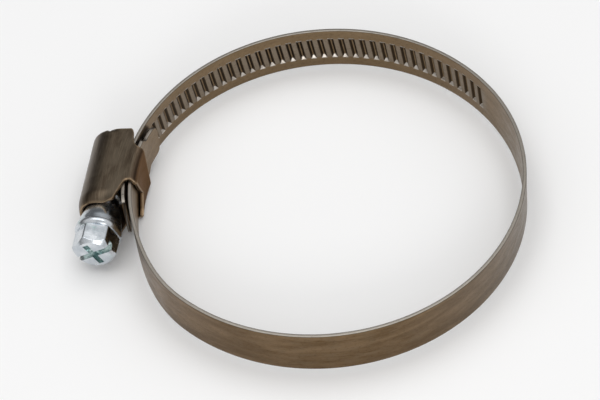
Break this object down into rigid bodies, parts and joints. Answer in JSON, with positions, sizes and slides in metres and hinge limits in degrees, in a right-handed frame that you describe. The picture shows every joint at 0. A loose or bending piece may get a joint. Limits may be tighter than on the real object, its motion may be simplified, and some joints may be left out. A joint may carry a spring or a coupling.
{
  "type": "worm-drive hose clamp",
  "caption": "Worm-drive hose clamp: an embossed steel band closed into a ring by a hex-head screw that turns in a pressed housing",
  "frame": {"origin": "middle of the underside of the whole clamp, as it lies flat", "axes": "+Z along the ring's axis, the housing on the -X side, the screw's axis along Y with its hexagon towards -Y"},
  "size_m": [0.0792, 0.072, 0.0108],
  "materials": {
    "band_steel": "satin rolled strip, brownish, with bright cut edges",
    "housing_steel": "satin pressed sheet, grey-brown, with tan highlights",
    "screw_zinc": "zinc plated, semi-bright, slightly blue"
  },
  "bodies": {
    "clamp_base": {"housing": "housing_steel", "band_fixed_end": "band_steel"},
    "front_stretch": {"band_front_stretch": "band_steel"},
    "back_stretch": {"band_back_stretch": "band_steel"},
    "threaded_end": {"band_threaded_end": "band_steel"},
    "screw": {"screw": "screw_zinc"}
  },
  "joints": [
    {"name": "screw_turn", "type": "hinge", "parent": "clamp_base", "child": "screw", "pos_m": [-0.03503, -0.00022, 0.0054], "axis": [0, 1, 0], "range_deg": [-360, 2160]},
    {"name": "band_bend_front", "type": "hinge", "parent": "clamp_base", "child": "front_stretch", "pos_m": [-0.00228, -0.03511, 0.0054], "axis": [0, 0, 1], "range_deg": [-1.1, 6.2]},
    {"name": "band_bend_right", "type": "hinge", "parent": "front_stretch", "child": "back_stretch", "pos_m": [0.03716, 0.01189, 0.0054], "axis": [0, 0, 1], "range_deg": [-1.3, 7.3]},
    {"name": "band_bend_back", "type": "hinge", "parent": "back_stretch", "child": "threaded_end", "pos_m": [-0.02326, 0.02255, 0.0054], "axis": [0, 0, 1], "range_deg": [-1.1, 6.1]}
  ],
  "couplings": [
    {"joint": "band_bend_front", "follows": "screw_turn", "ratio": 0.002824},
    {"joint": "band_bend_right", "follows": "screw_turn", "ratio": 0.003313},
    {"joint": "band_bend_back", "follows": "screw_turn", "ratio": 0.002771}
  ]
}
